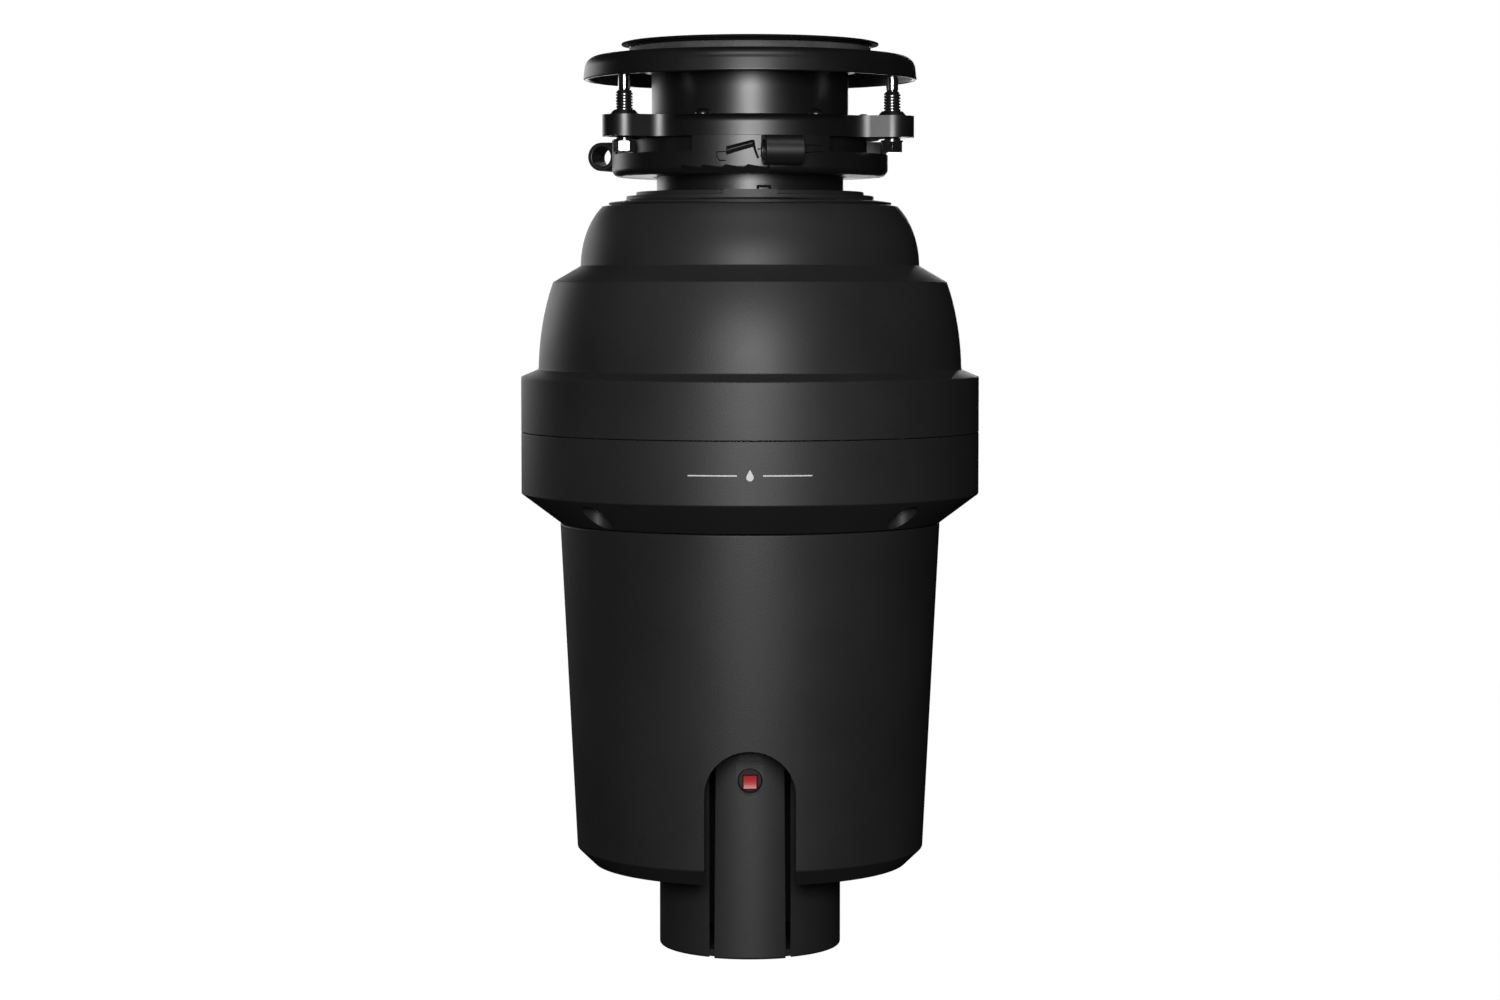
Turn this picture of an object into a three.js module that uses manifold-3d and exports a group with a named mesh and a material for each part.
// Kitchen food-waste disposer with its three-screw sink mount, in millimetres, +Z up.
// The origin is on the axis, at the plane where the rim of the sink flange rests on the sink, and the
// disposer hangs below it. The front, with the reset button, faces -Y. Angles are read from the front
// (-Y) towards the right (+X).

import * as THREE from "three";
import { mergeVertices } from "three/addons/utils/BufferGeometryUtils.js";
import Module from "manifold-3d";

const wasm = await Module();
wasm.setup();

// ---------------------------------------------------------------- driving dimensions

const GAP = 0.3; // air between pieces that touch on the real object
const WIDE_SIDES = 24; // facets round a large ring
const SMALL_SIDES = 12; // facets round a bearing or a boss
const PIPE_SIDES = 16; // facets round a pipe or a round hole
const TINY_SIDES = 8; // facets round a screw
const REACH = 200; // a cutter that only has to pass right through

const FLANGE = {
  rimR: 57.15, rimTop: 1.2, sleeveR: 43.75, boreR: 41.75,
  bottom: -49, underside: -0.8, seatR: 54.3,
};
const THROAT = [[50, 0.9], [44.5, 0.7], [42.6, -0.6], [FLANGE.boreR, -3]]; // the rim dips into the sleeve
const GASKET = { outerR: 53.8, innerR: 44.3, top: -1.1, bottom: -4.7 };
const BACKUP = { outerR: 74.2, boreR: 44.6, top: -5, bottom: -15.5, corner: 8, wall: 2, hubBottom: -12 };
const RING = {
  outerR: 57.6, boreR: 44.6, top: -32.5, bottom: -41.7,
  corner: 4, skirtR: 52, skirtBottom: -50,
};
const EAR = { angles: [-53.5, 66.5, 186.5], screwR: 67.8, endR: 9.6, lean: 77, hollow: 7, rootR: 47 };
const BOSS = { baseR: 6.2, topR: 4.6, height: 2.1 }; // round each mounting screw, on its ear
const PAD = { from: -22, to: 33, outerR: 59, innerR: 46.5, top: -42.3, bottom: -52.9 };
const TAB = { from: -24, to: 34, top: -42, slotFrom: -13.7, slotTo: 31.8, slotTop: -45.3, slotBottom: -52 };
const TURNS = [0, 120, 240]; // the mount repeats three times round the axis
const RAMP = { angle: -3.8, r: 59.6, z: -47.5, length: 12, height: 1.5, depth: 2, slope: 11 };
const SCREW = { pinR: 2.65, threadR: 3.4, pinTop: -10.3, threadTop: -21.9, slotWidth: 1.4, slotDepth: 1.6 };
const SCREW_HEAD = { flats: 9, top: -43.8, bottom: -48.4 };
const SNAP = { outerR: 46.1, innerR: 43.4, top: -42.3, bottom: -44, grooveDepth: 0.8, opening: 8 };
const LOCK = {
  outerR: 61.4, innerR: 59.9, top: -48.7, bottom: -58.3,
  corner: 4, flangeR: 43, flangeTop: -56.5,
};
const LOOP = { angle: 12, r: 67.6, z: -48.7, outer: 6.4, bore: 4.2, length: 17.6, strap: 2.2 };
const CUSHION = {
  innerR: 38, outerR: 50, top: -49.3, bottom: -54.9,
  lipTop: -53.2, wallR: 46.1, wall: 2, wallTop: -45,
};
const BAFFLE = {
  rimR: 41.4, rimWall: 4, throatR: 35.5, holeR: 11,
  top: -46.5, rimBottom: -49, dip: -61, flap: 2,
};
const SLITS = { angles: [0, 45, 90, 135], reach: 34, width: 1, top: -50, bottom: -66 };

const NECK = {
  outerR: 41.6, innerR: 39.8, lipR: 50, lipTop: -55.2,
  lipBottom: -56.2, insideEnd: -74, outsideEnd: -72,
};
const CHAMBER = { outerR: 71.5, innerR: 69.8, top: -118, flangeR: 79, flangeTop: -160, flangeBottom: -162 };
const HOPPER_INSIDE = [[57, -83], [64.5, -94], [68.3, -108]]; // from the neck down to the chamber
const HOPPER_OUTSIDE = [[58, -81], [66, -92.5], [70, -107]];
const SHREDDER = {
  outerR: 69.4, innerR: 66.8, top: -148, bottom: -168,
  teeth: 16, slotWidth: 4.4, slotTop: -157,
};
const CHAMBER_GASKET = { outerR: 79, innerR: 71, top: -162.3, bottom: -163.7 };
const JACKET = { outerR: 83, innerR: 72.6, top: -119, bottom: -158 };
const COLLAR = {
  boreR: 42.1, top: -65, step1: 50.7, step2: 55.1,
  outerR: 63, spigotR: 61.5, spigotBottom: -73,
};
const COLLAR_STEPS = {
  step: -66.8, foot: -68.6, rimTop: -69.7,
  rimBottom: -70.4, padFrom: -12, padTo: 12.5,
};
const SHELL = {
  bandR: 102.2, wall: 2.8, seam: -171.6, bandTop: -146.9,
  bandBottom: -198.9, bottom: -211.7, bottomR: 85.1,
};
const SHELL_NECK = { r: 61.9, top: -70.7, inside: -73.6 };
const DOME = { r: 52, z: -98, radiusR: 23.5, radiusZ: 32.9, from: 54, to: 1, foot: -97.8, footR: 75.5 };
const SHOULDER = {
  r: 62, z: -146, radiusR: 32.4, radiusZ: 67.9, from: 37,
  to: 2, foot: -143.9, footR: 94.4,
};
const SHELL_INSIDE = [[91.6, -145.6], [90, -125], [72.7, -100], [72, -88]]; // under the shoulder and the dome
const POCKET = {
  angles: [45, 135, 225, 315], r: 92.5, radius: 6.75,
  roof: -190, bossR: 8.8, screwR: 2, headR: 4.2,
};
const CASE_SCREW = { headHeight: 3.4, top: -156, postR: 5, postTop: -144.5 };
const TABLE = {
  r: 66, top: -165, bottom: -167, hubR: 14, hubTop: -160,
  hubBottom: -170, pivotR: 44, pivotHole: 3.3,
};
const TABLE_HOLES = { angles: [60, 120, 240, 300], r: 52, radius: 2.2 };
const LUG = { endR: 7.5, half: 8.5, front: -18.2, back: -13, thick: 4, height: 11, bore: 3.5, lift: 0.4 };
const PIVOT = {
  footR: 4.6, footDepth: 1.8, shankR: 3, headR: 5.2,
  headTopR: 4.2, headLift: 4.8, headHeight: 2.2,
};
const LUG_ANGLES = [0, 180]; // where the two lugs pivot on the turntable
const NUT = { flats: 19, height: 5 };
const DRAIN = {
  z: -183.5, outer: 18, bore: 15, end: 104, boltX: 25,
  opening: 20, floor: -199, floorUnder: -203,
};
const DRAIN_EAR = { half: 31, halfHeight: 8, back: 97 };
const DRAIN_WALL = {
  r: 73, top: -164, flangeR: 79, flangeBottom: -167,
  footR: 70, footTipR: 78, footBottom: -208,
};
const DRAIN_HUB = {
  r: 17, boreR: 11.6, top: -194, topR: 16, baseR: 18,
  bottom: -220, lugR: 5, lugBottom: -216,
};
const ELBOW = {
  outer: 19, bore: 16.4, bend: 30, lead: 6, start: 107.3,
  bottom: -252, flangeR: 20, flangeEnd: 109.8,
};
const PLATE = { lobeR: 7, arcR: 23, thick: 2.5, back: 110.1 };
const ELBOW_BOLT = { shankR: 2, headR: 4.3, headHeight: 3.4, inside: 94, hole: 2.4 };
const ELBOW_GASKET = { outerR: 19.5, innerR: 15.2 };
const INLET = {
  angle: 150, z: -86, outer: 11, bore: 8.5, from: 63.5,
  to: 108, bead: 1.2, beadFrom: 102, beadTo: 105,
};
// the room that the hopper takes up round the inlet
const INLET_SPACE = [[0, -60], [45, -71], [58.5, -80.7], [66.5, -92.3], [70.5, -107], [0, -107]];

const HOUSING = {
  topR: 84.9, top: -212.2, footR: 77.6, foot: -357.7,
  bottomR: 69.9, bottom: -365.1, floorWall: 2.8,
};
const HOUSING_NECK = { r: 80.6, top: -203, wall: 2.2, room: 0.5 };
const ALCOVE = { half: 19.75, centreZ: -325, wall: 2.5, back: -34.5 };
const BASE = {
  outerR: 40.65, innerR: 38.2, top: -324.7, bottom: -402.5,
  floor: -399.5, wrenchHole: 9, frontHalf: 20,
};
const TONGUE = {
  outerR: 41.7, innerR: 37.6, halfTop: 15,
  halfBottom: 15.7, channelHalf: 17.9, channelR: 37.2,
};
const BUTTON = { z: -324.3, width: 6, height: 5.8, front: -39.5, back: -28 };
const BUTTON_POCKET = { half: 6.1, top: -314.7, holeZ: -323.6, holeR: 5.9, floor: -39.8 };
const GLAND = { z: -385, bore: 4.2, bodyR: 7.1, capR: 9.5, inside: 33, outside: 49, holeR: 7.5 };
const BASE_SCREW = {
  y: 5, headR: 4, headDepth: 1.3, shankR: 1.7, top: -388,
  sinkR: 4.6, sinkDepth: 1.6, holeR: 2.4,
};

const MOTOR = {
  top: -228, bottom: -284, statorR: 68, boreR: 38.2,
  rotorR: 37.4, coilTop: -212.5, coilBottom: -300,
};
const COIL = { outerR: 64, innerR: 41 };
const STATOR_FLAT = { half: 30, depth: 3 };
const SHAFT = {
  r: 6, top: -163, bottom: -398, endR: 7.5, endTop: -376,
  hexFlats: 8, hexDepth: 14, nutEnd: 10,
};
const BEARING = { outerR: 11.3, sealTop: -195, sealBottom: -202, upperTop: -206, upperBottom: -219 };
const LOWER_BEARING = { top: -305.5, bottom: -317.5, seatTop: -305 };
const FRAME = { r: 73, top: -302, bottom: -306, hubR: 16, hubBottom: -318, boltR: 71, postX: 27, postR: 5 };
const FRAME_VENTS = { angles: [90, 180, 270], r: 50, radius: 13 };
const THROUGH_BOLT = { flats: 7, headHeight: 3.5, shankR: 2, top: -207, holeR: 2.3 };
const LIFTER = { bottom: -297, flangeTop: -294.5, flangeR: 18, hubR: 10.5, coneTop: -293, top: -287.5 };
const SWITCH = {
  half: 7, front: 24, back: 36, top: -296.5, slotHalf: 3.4,
  slotBack: 33, slotBottom: -300.2,
};
const ARM = { half: 2.8, front: 14, back: 32, top: -297.6, bottom: -299.3 };
const CAPACITOR = { r: 12.5, y: 54.5, top: -326, bottom: -361 };
const PROTECTOR = {
  half: 11, back: -20, bottom: -345, shoulder: -321.5,
  crownHalf: 7, top: -317, bossR: 5.2, bossFront: -37.3,
};

// ---------------------------------------------------------------- materials

const paint = (color, roughness, metalness) =>
  new THREE.MeshStandardMaterial({ color, roughness, metalness });
const MATTE_BLACK = paint(0x2c2c2d, 0.55, 0);
const GLOSS_BLACK = paint(0x0d0d0e, 0.22, 0.3);
const RUBBER = paint(0x171717, 0.85, 0);
const FIBRE = paint(0x2a2826, 0.8, 0);
const STEEL = paint(0xb9bbbd, 0.25, 1);
const BRIGHT = paint(0xd8d9da, 0.15, 1);
const CAST = paint(0x9a9c9e, 0.5, 0.9);
const LAMINATION = paint(0x6f7274, 0.5, 0.8);
const COPPER = paint(0xb5672f, 0.35, 0.9);
const FOAM = paint(0x3a3a3c, 0.95, 0);
const RED = paint(0xc3272b, 0.4, 0);
const PHENOLIC = paint(0x1c1b1a, 0.5, 0);
const NYLON = paint(0xd9d4c4, 0.5, 0);

// ---------------------------------------------------------------- helpers

const RAD = Math.PI / 180;
const point = (r, z) => new THREE.Vector2(r, z);
const points = (...pairs) => pairs.map(([r, z]) => point(r, z));

// The place at an angle from the front and a radius from the axis.
function at(angle, r, z = 0) {
  return [r * Math.sin(angle * RAD), -r * Math.cos(angle * RAD), z];
}

// A closed geometry as a manifold-3d solid, with its faces turned outwards.
function solidOf(geometry) {
  const bare = new THREE.BufferGeometry().setAttribute("position", geometry.getAttribute("position"));
  if (geometry.index) bare.setIndex(geometry.index);
  const merged = mergeVertices(bare, 1e-4);
  const index = merged.index.array;
  const kept = [];
  for (let i = 0; i < index.length; i += 3) {
    const [a, b, c] = [index[i], index[i + 1], index[i + 2]];
    if (a !== b && b !== c && c !== a) kept.push(a, b, c);
  }
  const vertProperties = merged.attributes.position.array;
  const build = (corners) =>
    new wasm.Manifold(new wasm.Mesh({ numProp: 3, vertProperties, triVerts: new Uint32Array(corners) }));
  const made = build(kept);
  return made.volume() >= 0 ? made : build(kept.reverse());
}

// A profile of (radius, z) points turned round the Z axis.
function lathe(profile, sides = WIDE_SIDES) {
  const closed = [...profile, profile[0]];
  return solidOf(new THREE.LatheGeometry(closed, sides).rotateX(Math.PI / 2));
}

// A ring or, with no bore, a disc.
function ring(outerR, boreR, low, high, sides = WIDE_SIDES) {
  return lathe(points([boreR, low], [outerR, low], [outerR, high], [boreR, high]), sides);
}

// A box by its lowest and highest corner.
function block([x0, y0, z0], [x1, y1, z1]) {
  const box = new THREE.BoxGeometry(x1 - x0, y1 - y0, z1 - z0);
  return solidOf(box.translate((x0 + x1) / 2, (y0 + y1) / 2, (z0 + z1) / 2));
}

// A flat shape drawn in X and Y, raised from low to high.
function prism(shape, low, high, curveSegments = 12) {
  const g = new THREE.ExtrudeGeometry(shape, { depth: high - low, bevelEnabled: false, curveSegments });
  return solidOf(g.translate(0, 0, low));
}

// A flat shape drawn in X and Z, run along Y from front to back.
function prismY(shape, front, back, curveSegments = 12) {
  const g = new THREE.ExtrudeGeometry(shape, { depth: back - front, bevelEnabled: false, curveSegments });
  return solidOf(g.rotateX(Math.PI / 2).translate(0, back, 0));
}

// A slice of a ring between two angles.
function slice(outerR, innerR, from, to, low, high) {
  const shape = new THREE.Shape();
  const [start, end] = [(from - 90) * RAD, (to - 90) * RAD];
  shape.absarc(0, 0, outerR, start, end, false);
  shape.absarc(0, 0, innerR, end, start, true);
  return prism(shape, low, high, Math.max(2, Math.ceil((to - from) / 10)));
}

// The points of an elliptical arc, from one angle to another.
function arc(centreR, centreZ, radiusR, radiusZ, from, to, pieces) {
  const curve = new THREE.EllipseCurve(centreR, centreZ, radiusR, radiusZ, from * RAD, to * RAD, to < from);
  return curve.getPoints(pieces);
}

// A round bar or tube along X or Y, from one end to the other, centred on the other two coordinates.
function barAlong(axis, outer, bore, from, to, sides = SMALL_SIDES) {
  const upright = bore > 0 ? ring(outer, bore, from, to, sides) : rod(outer, from, to, sides);
  return axis === "x" ? upright.rotate([0, 90, 0]) : upright.rotate([-90, 0, 0]);
}

// A round bar on the Z axis.
function rod(r, low, high, sides = SMALL_SIDES) {
  return lathe(points([0, low], [r, low], [r, high], [0, high]), sides);
}

// A hexagonal bar on the Z axis, by its width across flats.
function hexBar(flats, low, high) {
  return rod(flats / 2 / Math.cos(Math.PI / 6), low, high, 6);
}

const turned = (solid, angle) => solid.rotate([0, 0, angle]);
const joined = (...solids) => solids.reduce((a, b) => a.add(b));
const cut = (solid, ...cutters) => cutters.reduce((a, b) => a.subtract(b), solid);

// A copy of a solid at each of some angles round the axis, at a radius from it.
const around = (solid, angles, r) => angles.map((angle) => solid.translate(at(angle, r)));

const disposer = new THREE.Group();

// Adds a named mesh to a group, the disposer unless another is given.
function piece(name, solid, material, group = disposer) {
  const { numProp, numVert, vertProperties, triVerts } = solid.getMesh();
  const positions = new Float32Array(numVert * 3);
  for (let i = 0; i < numVert; i++) {
    positions.set(vertProperties.subarray(i * numProp, i * numProp + 3), i * 3);
  }
  const geometry = new THREE.BufferGeometry();
  geometry.setAttribute("position", new THREE.BufferAttribute(positions, 3));
  geometry.setIndex(new THREE.BufferAttribute(triVerts, 1));
  geometry.computeVertexNormals();
  const mesh = new THREE.Mesh(geometry, material);
  mesh.name = name;
  group.add(mesh);
  return mesh;
}

// ---------------------------------------------------------------- sink mount

function sinkFlange() {
  const { rimR, rimTop, sleeveR, boreR, bottom, underside, seatR } = FLANGE;
  const grooveR = sleeveR - SNAP.grooveDepth;
  const [grooveTop, grooveBottom] = [SNAP.top + GAP, SNAP.bottom - GAP];
  return lathe(
    points(
      [rimR, 0], [rimR, rimTop * 0.6], [rimR - 2, rimTop], ...THROAT, [boreR, bottom], [sleeveR, bottom],
      [sleeveR, grooveBottom], [grooveR, grooveBottom], [grooveR, grooveTop], [sleeveR, grooveTop],
      [sleeveR, underside], [seatR - 0.4, underside], [seatR, 0],
    ),
  );
}

function backupFlange() {
  const { outerR, boreR, top, bottom, corner, wall, hubBottom } = BACKUP;
  return lathe([
    ...points([boreR, top], [boreR, hubBottom], [boreR + wall, hubBottom], [boreR + wall, top - wall]),
    ...arc(outerR - corner, top - corner, corner - wall, corner - wall, 90, 0, 3),
    ...points([outerR - wall, bottom], [outerR, bottom]),
    ...arc(outerR - corner, top - corner, corner, corner, 0, 90, 4),
  ]);
}

// One ear of the upper ring, pointing to the front: a round tip whose flanks sweep into the ring.
function ear() {
  const { screwR, endR, lean, hollow, rootR } = EAR;
  const out = new THREE.Vector2(Math.sin(lean * RAD), -Math.cos(lean * RAD));
  const along = new THREE.Vector2(-out.y, out.x);
  const start = new THREE.Vector2(0, -screwR).addScaledVector(out, endR + hollow);
  const half = start.dot(along);
  const run = -half - Math.sqrt(half ** 2 - start.lengthSq() + (RING.outerR + hollow) ** 2);
  const centre = start.addScaledVector(along, run);
  const toRing = Math.atan2(-centre.y, -centre.x);
  const flank = Math.atan2(-out.y, -out.x);
  const root = centre.clone().setLength(rootR);
  const shape = new THREE.Shape();
  shape.moveTo(root.x, root.y);
  shape.lineTo(-root.x, root.y);
  shape.absarc(-centre.x, centre.y, hollow, Math.PI - toRing, Math.PI - flank, true);
  shape.absarc(0, -screwR, endR, -Math.PI / 2 - lean * RAD, -Math.PI / 2 + lean * RAD, false);
  shape.absarc(centre.x, centre.y, hollow, flank, toRing, true);
  return prism(shape, RING.bottom, RING.top, 5);
}

function mountingRing() {
  const { outerR, boreR, top, bottom, corner, skirtR, skirtBottom } = RING;
  const body = lathe([
    ...points([boreR, top], [boreR, bottom], [PAD.innerR, bottom], [PAD.innerR, skirtBottom]),
    ...points([skirtR, skirtBottom], [skirtR, bottom], [outerR, bottom]),
    ...arc(outerR - corner, top - corner, corner, corner, 0, 90, 3),
  ]);
  const { baseR, topR, height } = BOSS;
  const boss = lathe(
    points([0, top - 1], [baseR, top - 1], [baseR, top], [topR, top + height], [0, top + height]),
    SMALL_SIDES,
  );
  const hole = rod(SCREW.threadR + 2 * GAP, bottom - 1, top + height + 1, TINY_SIDES);
  const ramp = solidOf(
    new THREE.BoxGeometry(RAMP.length, RAMP.depth, RAMP.height)
      .rotateY(-RAMP.slope * RAD)
      .translate(0, -RAMP.r, RAMP.z),
  );
  const ears = EAR.angles.map((angle) => turned(ear(), angle));
  const pads = TURNS.map((turn) =>
    slice(PAD.outerR, PAD.innerR, PAD.from + turn, PAD.to + turn, PAD.bottom, PAD.top),
  );
  const ramps = TURNS.map((turn) => turned(ramp, RAMP.angle + turn));
  const whole = joined(body, ...ears, ...around(boss, EAR.angles, EAR.screwR), ...pads, ...ramps);
  return cut(whole, ...around(hole, EAR.angles, EAR.screwR), rod(boreR, bottom - 1, top + 1, WIDE_SIDES));
}

function mountingScrew() {
  const { pinR, threadR, pinTop, threadTop, slotWidth, slotDepth } = SCREW;
  const { flats, top, bottom } = SCREW_HEAD;
  const shank = lathe(
    points(
      [0, top], [threadR, top], [threadR, threadTop - 1], [pinR, threadTop], [pinR, pinTop], [0, pinTop],
    ),
    TINY_SIDES,
  );
  const slot = block([-flats, -slotWidth / 2, bottom - 1], [flats, slotWidth / 2, bottom + slotDepth]);
  return cut(joined(shank, hexBar(flats, bottom, top)), slot);
}

// A flat spring ring in the sleeve's groove, open at the back.
function snapRing() {
  const { outerR, innerR, top, bottom, opening } = SNAP;
  const mouth = block([-opening / 2, 0, bottom - 1], [opening / 2, REACH, top + 1]);
  return cut(ring(outerR, innerR, bottom, top), mouth);
}

// The lower ring, with a tall slotted tab and a wrench loop three times round it.
function lockRing() {
  const { outerR, innerR, top, bottom, corner, flangeR, flangeTop } = LOCK;
  const body = lathe([
    ...points([flangeR, bottom]),
    ...arc(outerR - corner, bottom + corner, corner, corner, -90, 0, 3),
    ...points([outerR, TAB.top], [innerR, TAB.top], [innerR, flangeTop + 2], [innerR - 2, flangeTop]),
    ...points([flangeR, flangeTop]),
  ]);
  const { angle, r, z, outer, bore, length, strap } = LOOP;
  const tube = barAlong("x", outer, bore, -length / 2, length / 2).translate([0, -r, z]);
  const web = block([-length / 2, -r, z + outer - strap], [length / 2, -innerR - GAP, z + outer]);
  const band = (from, to, low, high) => slice(outerR + 2, innerR - 2, from, to, low, high);
  const gaps = TURNS.map((turn) => band(TAB.to + turn, TAB.from + 120 + turn, top, TAB.top + 1));
  const slots = TURNS.map((turn) =>
    band(TAB.slotFrom + turn, TAB.slotTo + turn, TAB.slotBottom, TAB.slotTop),
  );
  const loops = TURNS.map((turn) => turned(tube.add(web), angle + turn));
  return joined(cut(body, ...gaps, ...slots), ...loops);
}

function mountingCushion() {
  const { innerR, outerR, top, bottom, lipTop, wallR, wall, wallTop } = CUSHION;
  return lathe(
    points(
      [innerR, top], [innerR, bottom], [outerR, bottom], [outerR, lipTop], [wallR, lipTop], [wallR, wallTop],
      [wallR - wall, wallTop], [wallR - wall, top],
    ),
  );
}

// Rubber flaps that dip towards the middle, hung from a rim.
function splashBaffle() {
  const { rimR, rimWall, throatR, holeR, top, rimBottom, dip, flap } = BAFFLE;
  const rootZ = dip + 6;
  const body = lathe(
    points(
      [rimR, top], [throatR, top], [throatR, rootZ], [holeR, dip], [holeR, dip - flap],
      [throatR, rootZ - flap - 1], [rimR - rimWall, rootZ - flap - 3], [rimR - rimWall, rimBottom],
      [rimR, rimBottom],
    ),
  );
  const half = SLITS.width / 2;
  const slit = block([-SLITS.reach, -half, SLITS.bottom], [SLITS.reach, half, SLITS.top]);
  return cut(body, ...SLITS.angles.map((angle) => turned(slit, angle)));
}

piece("sink_flange", sinkFlange(), GLOSS_BLACK);
piece("mounting_ring", mountingRing(), GLOSS_BLACK);
piece("snap_ring", snapRing(), STEEL);
piece("lock_ring", lockRing(), GLOSS_BLACK);
piece("mounting_cushion", mountingCushion(), RUBBER);
piece("splash_baffle", splashBaffle(), RUBBER);

const clamp = new THREE.Group();
disposer.add(clamp);
piece("sink_gasket", ring(GASKET.outerR, GASKET.innerR, GASKET.bottom, GASKET.top), FIBRE, clamp);
piece("backup_flange", backupFlange(), GLOSS_BLACK, clamp);
EAR.angles.forEach((angle, i) => {
  const screw = piece(`mounting_screw_${i + 1}`, mountingScrew(), BRIGHT, clamp);
  screw.position.set(...at(angle, EAR.screwR));
});

// ---------------------------------------------------------------- grinding chamber

function hopper() {
  const { outerR, innerR, top, flangeR, flangeTop, flangeBottom } = CHAMBER;
  const body = lathe(
    points(
      [NECK.lipR, NECK.lipTop], [NECK.innerR, NECK.lipTop], [NECK.innerR, NECK.insideEnd], ...HOPPER_INSIDE,
      [innerR, top], [innerR, flangeBottom], [flangeR, flangeBottom], [flangeR, flangeTop],
      [outerR, flangeTop], [outerR, top], ...[...HOPPER_OUTSIDE].reverse(), [NECK.outerR, NECK.outsideEnd],
      [NECK.outerR, NECK.lipBottom], [NECK.lipR, NECK.lipBottom],
    ),
  );
  const bore = barAlong("y", INLET.bore, 0, NECK.innerR, innerR + 20, PIPE_SIDES);
  return cut(body, turned(bore.translate([0, 0, INLET.z]), INLET.angle - 180));
}

// The nozzle that takes a dishwasher's drain hose. Its inner end stops just clear of the hopper wall.
function dishwasherInlet() {
  const { angle, z, outer, bore, from, to, bead, beadFrom, beadTo } = INLET;
  const tube = barAlong("y", outer, bore, from, to, PIPE_SIDES);
  const barb = barAlong("y", outer + bead, bore, beadFrom, beadTo, PIPE_SIDES);
  const nozzle = joined(tube, barb).translate([0, 0, z]);
  return cut(turned(nozzle, angle - 180), lathe(points(...INLET_SPACE)));
}

function topCollar() {
  const { boreR, top, step1, step2, outerR, spigotR, spigotBottom } = COLLAR;
  const { step, foot, rimTop, rimBottom, padFrom, padTo } = COLLAR_STEPS;
  const body = lathe(
    points(
      [boreR, top], [boreR, top - 3], [spigotR - 2, rimBottom - 0.2], [spigotR - 2, spigotBottom],
      [spigotR, spigotBottom], [spigotR, rimBottom], [outerR, rimBottom], [outerR, rimTop], [step2, foot],
      [step2, step], [step1, step], [step1, top],
    ),
  );
  return joined(body, slice(step2, step1 - 2, padFrom, padTo, top - 3, top));
}

// Both outer shells open round the drain spigot at the back.
const [earRoomX, earRoomZ] = [DRAIN_EAR.half + 1, DRAIN_EAR.halfHeight + 1];
const drainOpening = joined(
  barAlong("y", DRAIN.opening, 0, NECK.innerR, REACH, 20),
  block([-earRoomX, DRAIN_EAR.back - 7, -earRoomZ], [earRoomX, REACH, earRoomZ]),
).translate([0, 0, DRAIN.z]);

function upperShell() {
  const { bandR, wall, seam, bandTop } = SHELL;
  const bottom = seam + GAP / 2;
  const curve = ({ r, z, radiusR, radiusZ, from, to }) => arc(r, z, radiusR, radiusZ, from, to, 3).reverse();
  const body = lathe([
    ...points([SHELL_NECK.r, SHELL_NECK.top], [SHELL_NECK.r, SHELL_NECK.inside]),
    ...points(...[...SHELL_INSIDE].reverse(), [bandR - wall, bandTop - wall], [bandR - wall, bottom]),
    ...points([bandR, bottom], [bandR, bandTop], [SHOULDER.footR, SHOULDER.foot]),
    ...curve(SHOULDER),
    ...points([DOME.footR, DOME.foot]),
    ...curve(DOME),
  ]);
  const { postR, postTop, top } = CASE_SCREW;
  const posts = around(rod(postR, bottom, postTop, TINY_SIDES), POCKET.angles, POCKET.r);
  const holes = around(rod(POCKET.screwR + GAP, bottom - 1, top + 2, TINY_SIDES), POCKET.angles, POCKET.r);
  const inlet = barAlong("y", INLET.outer + 2 * GAP, 0, NECK.innerR, REACH, 20).translate([0, 0, INLET.z]);
  return cut(joined(body, ...posts), ...holes, turned(inlet, INLET.angle - 180), drainOpening);
}

function lowerShell() {
  const { bandR, wall, seam, bandBottom, bottom, bottomR } = SHELL;
  const top = seam - GAP / 2;
  const innerR = HOUSING_NECK.r + HOUSING_NECK.room;
  const outline = points([bandR, top], [bandR, bandBottom], [bottomR, bottom], [innerR, bottom]);
  const inside = points([innerR, bottom + 1.7], [bandR - wall, bandBottom + 1.7], [bandR - wall, top]);
  const filled = lathe([...outline, ...points([innerR, top])]);
  const boss = rod(POCKET.bossR, bottom, POCKET.roof + 7, SMALL_SIDES);
  const bosses = around(boss, POCKET.angles, POCKET.r).map((solid) => solid.intersect(filled));
  const hole = rod(POCKET.screwR + GAP, POCKET.roof - 1, seam, TINY_SIDES);
  const pocket = joined(rod(POCKET.radius, bottom - 5, POCKET.roof, SMALL_SIDES), hole);
  const body = joined(lathe([...outline, ...inside]), ...bosses);
  return cut(body, ...around(pocket, POCKET.angles, POCKET.r), drainOpening);
}

function shellScrew() {
  const { screwR, headR, roof } = POCKET;
  const { headHeight, top } = CASE_SCREW;
  const head = roof - GAP;
  const low = head - headHeight;
  return lathe(
    points(
      [0, low], [headR - 0.8, low], [headR, low + 1], [headR, head], [screwR, head], [screwR, top], [0, top],
    ),
    TINY_SIDES,
  );
}

// The stationary ring that food is ground against, with slots between its teeth.
function shredderRing() {
  const { outerR, innerR, top, bottom, teeth, slotWidth, slotTop } = SHREDDER;
  const slot = block([-slotWidth / 2, -outerR - 2, bottom - 1], [slotWidth / 2, -innerR + 6, slotTop]);
  const slots = Array.from({ length: teeth }, (unused, i) => turned(slot, (360 / teeth) * i));
  return cut(ring(outerR, innerR, bottom, top), ...slots);
}

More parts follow.
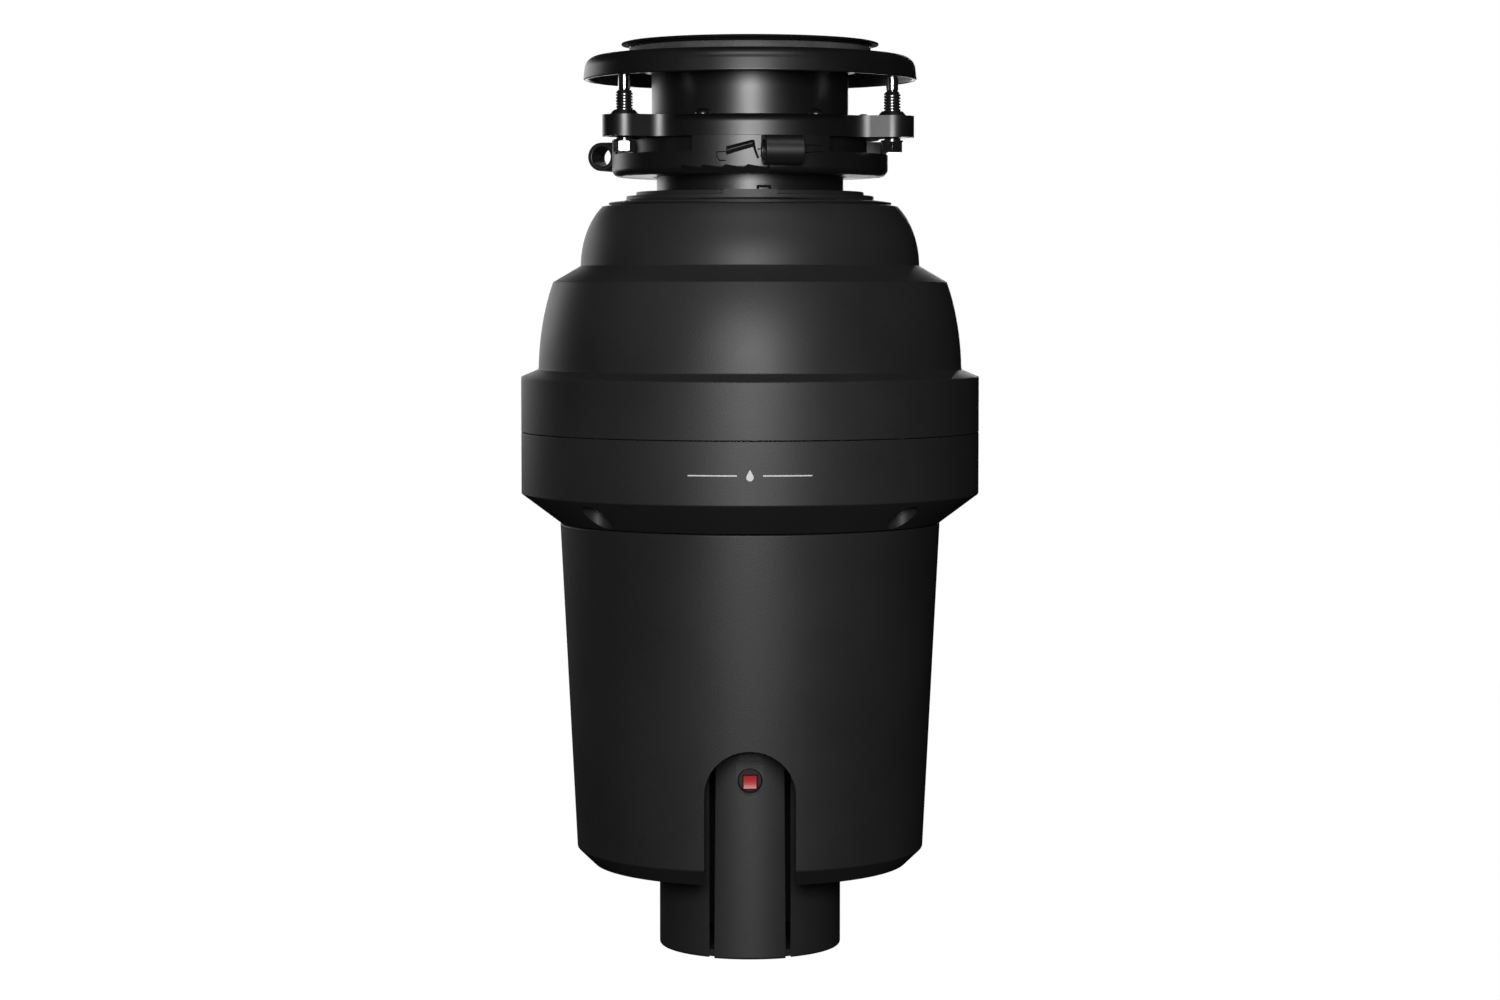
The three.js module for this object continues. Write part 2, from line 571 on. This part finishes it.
function turntable() {
  const { r, top, bottom, hubR, hubTop, hubBottom, pivotR, pivotHole } = TABLE;
  const boreR = SHAFT.r + GAP;
  const plate = lathe(
    points(
      [boreR, hubTop], [boreR, hubBottom], [hubR - 3, hubBottom], [hubR - 1, bottom], [r, bottom], [r, top],
      [hubR + 1, top], [hubR, hubTop],
    ),
  );
  const through = (radius) => rod(radius, bottom - 1, top + 1, TINY_SIDES);
  const pivots = around(through(pivotHole), LUG_ANGLES, pivotR);
  return cut(plate, ...pivots, ...around(through(TABLE_HOLES.radius), TABLE_HOLES.angles, TABLE_HOLES.r));
}

// A swivelling lug, with its pivot on the Z axis and its hammer towards the front.
function impeller() {
  const { endR, half, front, back, thick, height, bore, lift } = LUG;
  const shape = new THREE.Shape();
  shape.absarc(0, 0, endR, 0.15 * Math.PI, 0.85 * Math.PI, false);
  shape.lineTo(-half, front + 1);
  shape.lineTo(half, front + 1);
  const low = TABLE.top + lift;
  const hammer = block([-half, front, low], [half, back, low + height]);
  const body = joined(prism(shape, low, low + thick, 6), hammer);
  return cut(body, rod(bore, low - 1, low + thick + 1, TINY_SIDES));
}

function impellerPin() {
  const { footR, footDepth, shankR, headR, headTopR, headLift, headHeight } = PIVOT;
  const foot = TABLE.bottom - footDepth;
  const seat = TABLE.bottom - GAP;
  const head = TABLE.top + headLift;
  const crown = head + headHeight;
  return lathe(
    points(
      [0, foot], [footR, foot], [footR, seat], [shankR, seat], [shankR, head], [headR, head],
      [headTopR, crown], [0, crown],
    ),
    TINY_SIDES,
  );
}

// The casting under the turntable: a trough with the drain spigot, and the upper bearing's hub.
function drainHousing() {
  const { z, outer, bore, end, boltX, floor, floorUnder } = DRAIN;
  const { half, halfHeight, back } = DRAIN_EAR;
  const { r, top, flangeR, flangeBottom, footR, footTipR, footBottom } = DRAIN_WALL;
  const hub = DRAIN_HUB;
  const body = lathe(
    points(
      [CHAMBER.innerR, top], [CHAMBER.innerR, floor], [hub.baseR, floor + 1], [hub.topR, hub.top],
      [hub.boreR, hub.top], [hub.boreR, hub.bottom], [hub.r, hub.bottom], [hub.r, floorUnder],
      [footR, floorUnder], [footR, footBottom], [footTipR, footBottom], [footTipR, floorUnder],
      [r, floorUnder], [r, flangeBottom], [flangeR, flangeBottom], [flangeR, top],
    ),
  );
  const spigot = barAlong("y", outer, 0, footR - 4, end, WIDE_SIDES).translate([0, 0, z]);
  const outside = cut(spigot, rod(CHAMBER.innerR + 0.5, z - 50, z + 50, WIDE_SIDES));
  const ears = block([-half, back, z - halfHeight], [half, end, z + halfHeight]);
  const passage = barAlong("y", bore, 0, footR - 10, end + 1, 20).translate([0, 0, z]);
  const hole = barAlong("y", ELBOW_BOLT.hole, 0, back - 7, end + 1, TINY_SIDES);
  const holes = [-boltX, boltX].map((x) => hole.translate([x, 0, z]));
  const lug = rod(hub.lugR, hub.lugBottom, floorUnder + 0.5, TINY_SIDES);
  const tapping = rod(THROUGH_BOLT.holeR, hub.lugBottom - 1, THROUGH_BOLT.top + 1, TINY_SIDES);
  const trough = cut(joined(body, outside, ears), passage, ...holes);
  const whole = joined(trough, ...around(lug, POCKET.angles, FRAME.boltR));
  return cut(whole, ...around(tapping, POCKET.angles, FRAME.boltR));
}

piece("hopper", hopper(), STEEL);
piece("dishwasher_inlet", dishwasherInlet(), MATTE_BLACK);
piece("top_collar", topCollar(), MATTE_BLACK);
piece("upper_shell", upperShell(), MATTE_BLACK);
piece("lower_shell", lowerShell(), MATTE_BLACK);
POCKET.angles.forEach((angle, i) => {
  piece(`shell_screw_${i + 1}`, shellScrew(), STEEL).position.set(...at(angle, POCKET.r));
});
const ringOf = ({ outerR, innerR, top, bottom }) => ring(outerR, innerR, bottom, top);
piece("sound_jacket", ringOf(JACKET), FOAM);
piece("shredder_ring", shredderRing(), STEEL);
piece("chamber_gasket", ringOf(CHAMBER_GASKET), RUBBER);
piece("drain_housing", drainHousing(), CAST);

// ---------------------------------------------------------------- drain

// The pipe that turns the waste downwards. Its curve bends from the spigot's axis to the vertical.
function drainElbow() {
  const { outer, bore, bend, lead, start, bottom, flangeR, flangeEnd } = ELBOW;
  const level = DRAIN.z;
  const bendStart = new THREE.Vector3(0, start + lead, level);
  const bendEnd = new THREE.Vector3(0, start + lead + bend, level - bend);
  const corner = new THREE.Vector3(0, bendEnd.y, level);
  const centreline = new THREE.CurvePath();
  centreline.add(new THREE.LineCurve3(new THREE.Vector3(0, start, level), bendStart));
  centreline.add(new THREE.QuadraticBezierCurve3(bendStart, corner, bendEnd));
  centreline.add(new THREE.LineCurve3(bendEnd, new THREE.Vector3(0, bendEnd.y, bottom)));
  const sweep = (r) => {
    const section = new THREE.Shape().absarc(0, 0, r, 0, 2 * Math.PI, false);
    const options = { steps: 9, extrudePath: centreline, curveSegments: 6, bevelEnabled: false };
    return solidOf(new THREE.ExtrudeGeometry(section, options));
  };
  const inlet = barAlong("y", bore, 0, start - 1, start + 1, PIPE_SIDES).translate([0, 0, level]);
  const outlet = rod(bore, bottom - 1, bottom + 1, PIPE_SIDES).translate([0, bendEnd.y, 0]);
  const flange = barAlong("y", flangeR, 0, start, flangeEnd, 20).translate([0, 0, level]);
  return cut(joined(sweep(outer), flange), sweep(bore), inlet, outlet);
}

// The steel plate that pulls the elbow's flange against the drain housing.
function drainPlate() {
  const { lobeR, arcR, thick, back } = PLATE;
  const shape = new THREE.Shape();
  shape.absarc(0, 0, arcR, 0.25 * Math.PI, 0.75 * Math.PI, false);
  shape.absarc(-DRAIN.boltX, 0, lobeR, 0.6 * Math.PI, 1.4 * Math.PI, false);
  shape.absarc(0, 0, arcR, 1.25 * Math.PI, 1.75 * Math.PI, false);
  shape.absarc(DRAIN.boltX, 0, lobeR, 1.6 * Math.PI, 2.4 * Math.PI, false);
  const hole = barAlong("y", ELBOW_BOLT.hole, 0, back - 1, back + thick + 1, TINY_SIDES);
  const holes = [-DRAIN.boltX, DRAIN.boltX].map((x) => hole.translate([x, 0, 0]));
  const bore = barAlong("y", ELBOW.outer + GAP, 0, back - 1, back + thick + 1, WIDE_SIDES);
  return cut(prismY(shape, back, back + thick, 6), bore, ...holes).translate([0, 0, DRAIN.z]);
}

function drainBolt() {
  const { shankR, headR, headHeight, inside } = ELBOW_BOLT;
  const seat = PLATE.back + PLATE.thick + GAP;
  const shank = barAlong("y", shankR, 0, inside, seat + 1, TINY_SIDES);
  return joined(shank, barAlong("y", headR, 0, seat, seat + headHeight, 6));
}

function drainGasket() {
  const { outerR, innerR } = ELBOW_GASKET;
  return barAlong("y", outerR, innerR, DRAIN.end + GAP, ELBOW.start - GAP).translate([0, 0, DRAIN.z]);
}

piece("drain_gasket", drainGasket(), RUBBER);
piece("drain_elbow", drainElbow(), MATTE_BLACK);
piece("drain_plate", drainPlate(), STEEL);
[-DRAIN.boltX, DRAIN.boltX].forEach((x, i) => {
  piece(`drain_bolt_${i + 1}`, drainBolt(), STEEL).position.set(x, 0, DRAIN.z);
});

// ---------------------------------------------------------------- motor

const rotor = new THREE.Group();
disposer.add(rotor);

function shaft() {
  const { r, top, bottom, endR, endTop, hexFlats, hexDepth, nutEnd } = SHAFT;
  const tip = top + nutEnd;
  const body = lathe(
    points(
      [0, bottom], [endR, bottom], [endR, endTop], [r, endTop + 2], [r, top], [r - 1, top], [r - 1, tip],
      [0, tip],
    ),
    PIPE_SIDES,
  );
  return cut(body, hexBar(hexFlats, bottom - 1, bottom + hexDepth));
}

const coil = (low, high) => ring(COIL.outerR, COIL.innerR, low, high);

function stator() {
  const { top, bottom, statorR, boreR } = MOTOR;
  const { half, depth } = STATOR_FLAT;
  const flat = block([-half, -statorR - 5, bottom - 1], [half, -statorR + depth, top + 1]);
  return cut(ring(statorR, boreR, bottom, top), ...[0, 90, 180, 270].map((angle) => turned(flat, angle)));
}

// The plate under the motor, with the lower bearing's hub and two posts that stand on the base.
function endFrame() {
  const { r, top, bottom, hubR, hubBottom, boltR, postX, postR } = FRAME;
  const { seatTop } = LOWER_BEARING;
  const clearR = SHAFT.r + 1;
  const seatR = DRAIN_HUB.boreR;
  const under = hubBottom - 1;
  const bore = lathe(
    points([0, top + 1], [clearR, top + 1], [clearR, seatTop], [seatR, seatTop], [seatR, under], [0, under]),
    SMALL_SIDES,
  );
  const atPosts = (solid) => [-postX, postX].map((x) => solid.translate([x, BASE_SCREW.y, 0]));
  const posts = atPosts(rod(postR, BASE.floor + GAP, bottom + 0.5, TINY_SIDES));
  const tappings = atPosts(rod(BASE_SCREW.shankR + GAP, BASE.floor - 1, BASE_SCREW.top + 4, TINY_SIDES));
  const vent = rod(FRAME_VENTS.radius, bottom - 1, top + 1, SMALL_SIDES);
  const vents = around(vent, FRAME_VENTS.angles, FRAME_VENTS.r);
  const holes = around(rod(THROUGH_BOLT.holeR, bottom - 1, top + 1, TINY_SIDES), POCKET.angles, boltR);
  const alcoveRoom = block([-24, -REACH, hubBottom - 80], [24, ALCOVE.back + 1.5, top + 1]);
  const hub = rod(hubR, hubBottom, bottom + 0.5, SMALL_SIDES);
  const whole = joined(rod(r, bottom, top, WIDE_SIDES), hub, ...posts);
  return cut(whole, ...vents, ...holes, ...tappings, bore, alcoveRoom);
}

function throughBolt() {
  const { flats, headHeight, shankR, top } = THROUGH_BOLT;
  const head = FRAME.bottom - GAP;
  return joined(hexBar(flats, head - headHeight, head), rod(shankR, head - 1, top, TINY_SIDES));
}

// The plastic collar on the shaft that rises at speed and lets go of the starting switch.
function switchCollar() {
  const { bottom, flangeTop, flangeR, hubR, coneTop, top } = LIFTER;
  const boreR = SHAFT.r + GAP;
  return lathe(
    points(
      [boreR, bottom], [flangeR, bottom], [flangeR, flangeTop], [hubR, coneTop], [hubR, top], [boreR, top],
    ),
    SMALL_SIDES,
  );
}

function startSwitch() {
  const { half, front, back, top, slotHalf, slotBack, slotBottom } = SWITCH;
  const body = block([-half, front, FRAME.top + GAP], [half, back, top]);
  return cut(body, block([-slotHalf, front - 1, slotBottom], [slotHalf, slotBack, top + 1]));
}

// The spring strip that lies under the collar and hinges in the switch.
const switchArm = () => block([-ARM.half, ARM.front, ARM.bottom], [ARM.half, ARM.back, ARM.top]);

function overloadProtector() {
  const { half, back, bottom, shoulder, crownHalf, top, bossR, bossFront } = PROTECTOR;
  const front = ALCOVE.back + 0.4;
  const body = block([-half, front, bottom], [half, back, shoulder]);
  const crown = block([-crownHalf, front, shoulder - 1], [crownHalf, back, top]);
  const boss = barAlong("y", bossR, 0, bossFront, front + 1, PIPE_SIDES);
  const [w, h] = [BUTTON.width / 2 + GAP, BUTTON.height / 2 + GAP];
  const way = block([-w, -REACH, BUTTON.z - h], [w, BUTTON.back + 0.5, BUTTON.z + h]);
  return cut(joined(body, crown, boss.translate([0, 0, BUTTON_POCKET.holeZ])), way);
}

function resetButton() {
  const { z, width, height, front, back } = BUTTON;
  return block([-width / 2, front, z - height / 2], [width / 2, back, z + height / 2]);
}

const bearing = (low, high) => ring(BEARING.outerR, SHAFT.r + GAP, low, high, SMALL_SIDES);
const nutBore = rod(SHAFT.r - 1 + GAP, TABLE.hubBottom, TABLE.hubTop + NUT.height + 1, PIPE_SIDES);
const nut = cut(hexBar(NUT.flats, TABLE.hubTop + GAP, TABLE.hubTop + NUT.height), nutBore);

piece("turntable", turntable(), STEEL, rotor);
piece("turntable_nut", nut, STEEL, rotor);
LUG_ANGLES.forEach((angle, i) => {
  const lug = piece(`impeller_${i + 1}`, impeller(), STEEL, rotor);
  lug.position.set(...at(angle, TABLE.pivotR));
  lug.rotation.z = angle * RAD;
  piece(`impeller_pin_${i + 1}`, impellerPin(), STEEL, rotor).position.set(...at(angle, TABLE.pivotR));
});
piece("rotor_shaft", shaft(), STEEL, rotor);
piece("rotor_core", ring(MOTOR.rotorR, SHAFT.r + GAP, MOTOR.bottom, MOTOR.top), LAMINATION, rotor);
piece("switch_collar", switchCollar(), NYLON, rotor);

piece("shaft_seal", bearing(BEARING.sealBottom, BEARING.sealTop), RUBBER);
piece("upper_bearing", bearing(BEARING.upperBottom, BEARING.upperTop), BRIGHT);
piece("lower_bearing", bearing(LOWER_BEARING.bottom, LOWER_BEARING.top), BRIGHT);
piece("stator_core", stator(), LAMINATION);
piece("upper_winding", coil(MOTOR.top + GAP, MOTOR.coilTop), COPPER);
piece("lower_winding", coil(MOTOR.coilBottom, MOTOR.bottom - GAP), COPPER);
piece("end_frame", endFrame(), CAST);
POCKET.angles.forEach((angle, i) => {
  piece(`through_bolt_${i + 1}`, throughBolt(), STEEL).position.set(...at(angle, FRAME.boltR));
});
piece("start_switch", startSwitch(), PHENOLIC);
piece("switch_arm", switchArm(), BRIGHT);
piece("capacitor", rod(CAPACITOR.r, CAPACITOR.bottom, CAPACITOR.top), PHENOLIC).position.y = CAPACITOR.y;
piece("overload_protector", overloadProtector(), PHENOLIC);
piece("reset_button", resetButton(), RED);

// ---------------------------------------------------------------- lower housing and base

// An upright arch: straight sides and a round top, run along Y from front to back.
function archPrism(half, bottom, front, back) {
  const shape = new THREE.Shape();
  shape.moveTo(-half, bottom);
  shape.lineTo(half, bottom);
  shape.absarc(0, ALCOVE.centreZ, half, 0, Math.PI, false);
  return prismY(shape, front, back, 10);
}

// The channel that the wiring cover lies in, cut in the base and in the wall above it.
function tongueChannel() {
  const { channelHalf, channelR } = TONGUE;
  const front = block([-channelHalf, -60, BASE.bottom - 1], [channelHalf, 0, ALCOVE.centreZ + ALCOVE.half]);
  const rounded = front.intersect(archPrism(ALCOVE.half, BASE.bottom - 1, -60, 0));
  return cut(rounded, rod(channelR, BASE.bottom - 2, -290, WIDE_SIDES));
}

const buttonHole = () =>
  barAlong("y", BUTTON_POCKET.holeR + GAP, 0, -60, -30, PIPE_SIDES).translate([0, 0, BUTTON_POCKET.holeZ]);

// The tapering case round the motor, with an arched alcove at the front for the wiring cover.
function motorHousing() {
  const { topR, top, footR, foot, bottomR, bottom, floorWall } = HOUSING;
  const neck = HOUSING_NECK;
  const { half, wall, back } = ALCOVE;
  const floor = bottom + floorWall;
  const clearR = BASE.outerR + 0.5;
  const outline = points([neck.r, neck.top], [neck.r, top], [topR, top], [footR, foot], [bottomR, bottom]);
  const inside = points(
    [clearR, bottom], [clearR, floor], [bottomR - 1.2, floor], [footR - 2.8, foot + 1.4], [topR - 3, top - 4],
    [neck.r - neck.wall, top - 1.3], [neck.r - neck.wall, neck.top],
  );
  const filled = lathe([...outline, ...points([0, bottom], [0, neck.top])]);
  const alcoveBody = archPrism(half + wall, bottom, -topR - 2, back).intersect(filled);
  const baseTop = BASE.top + 0.4;
  const backWall = rod(BASE.outerR, baseTop, -290, WIDE_SIDES);
  const room = cut(archPrism(half, bottom - 1, -REACH, back + 1), backWall);
  const baseRoom = rod(clearR, bottom - 1, baseTop, WIDE_SIDES);
  const whole = joined(lathe([...outline, ...inside]), alcoveBody);
  return cut(whole, room, baseRoom, tongueChannel(), buttonHole());
}

function baseCup() {
  const { outerR, innerR, top, bottom, floor, wrenchHole, frontHalf } = BASE;
  const body = lathe(
    points(
      [outerR, top], [innerR, top], [innerR, floor], [wrenchHole, floor], [wrenchHole, bottom],
      [outerR, bottom],
    ),
  );
  const front = block([-frontHalf, -60, bottom], [frontHalf, ALCOVE.back, top]);
  const frontWall = front.intersect(rod(outerR, bottom, top, WIDE_SIDES));
  const glandHole = barAlong("y", GLAND.holeR, 0, 20, 60, PIPE_SIDES).translate([0, 0, GLAND.z]);
  const { y, sinkR, sinkDepth, holeR } = BASE_SCREW;
  const screwHole = joined(
    rod(holeR, bottom - 1, floor + 1, TINY_SIDES),
    rod(sinkR, bottom - 1, bottom + sinkDepth, TINY_SIDES),
  );
  const screwHoles = [-FRAME.postX, FRAME.postX].map((x) => screwHole.translate([x, y, 0]));
  return cut(joined(body, frontWall), tongueChannel(), buttonHole(), glandHole, ...screwHoles);
}

// The long cover down the front, with the recess round the reset button.
function wiringCover() {
  const { outerR, innerR, halfTop, halfBottom } = TONGUE;
  const [low, high] = [BASE.bottom, ALCOVE.centreZ + ALCOVE.half - 0.5];
  const outline = new THREE.Shape();
  outline.moveTo(-halfBottom, low);
  outline.lineTo(halfBottom, low);
  outline.lineTo(halfTop, high);
  outline.lineTo(-halfTop, high);
  const slab = prismY(outline, -60, -20).intersect(ring(outerR, innerR, low, high, 2 * WIDE_SIDES));
  const { half, top, holeZ, holeR, floor } = BUTTON_POCKET;
  const pocket = new THREE.Shape();
  pocket.moveTo(-half, top);
  pocket.lineTo(-half, holeZ);
  pocket.absarc(0, holeZ, half, Math.PI, 2 * Math.PI, false);
  pocket.lineTo(half, top);
  const hole = barAlong("y", holeR - GAP, 0, -60, -20, PIPE_SIDES).translate([0, 0, holeZ]);
  const cover = slab.intersect(archPrism(ALCOVE.half - 0.5, low - 1, -70, -10));
  return cut(cover, prismY(pocket, -60, floor, 8), hole);
}

// The strain-relief bushing that the power cord goes through.
function cordGland() {
  const { z, bore, bodyR, capR, inside, outside } = GLAND;
  const cap = barAlong("y", capR, bore, BASE.outerR + GAP, outside, PIPE_SIDES);
  const body = barAlong("y", bodyR, bore, inside, BASE.outerR + 1, PIPE_SIDES);
  return joined(body, cap).translate([0, 0, z]);
}

function baseScrew() {
  const { headR, headDepth, shankR, top } = BASE_SCREW;
  const low = BASE.bottom + 0.2;
  const seat = BASE.bottom + headDepth;
  return lathe(
    points([0, low], [headR, low], [headR, seat], [shankR, seat], [shankR, top], [0, top]),
    TINY_SIDES,
  );
}

piece("motor_housing", motorHousing(), MATTE_BLACK);
piece("base_cup", baseCup(), MATTE_BLACK);
piece("wiring_cover", wiringCover(), MATTE_BLACK);
piece("cord_gland", cordGland(), PHENOLIC);
[-1, 1].forEach((side, i) => {
  piece(`base_screw_${i + 1}`, baseScrew(), STEEL).position.set(side * FRAME.postX, BASE_SCREW.y, 0);
});

export default disposer;
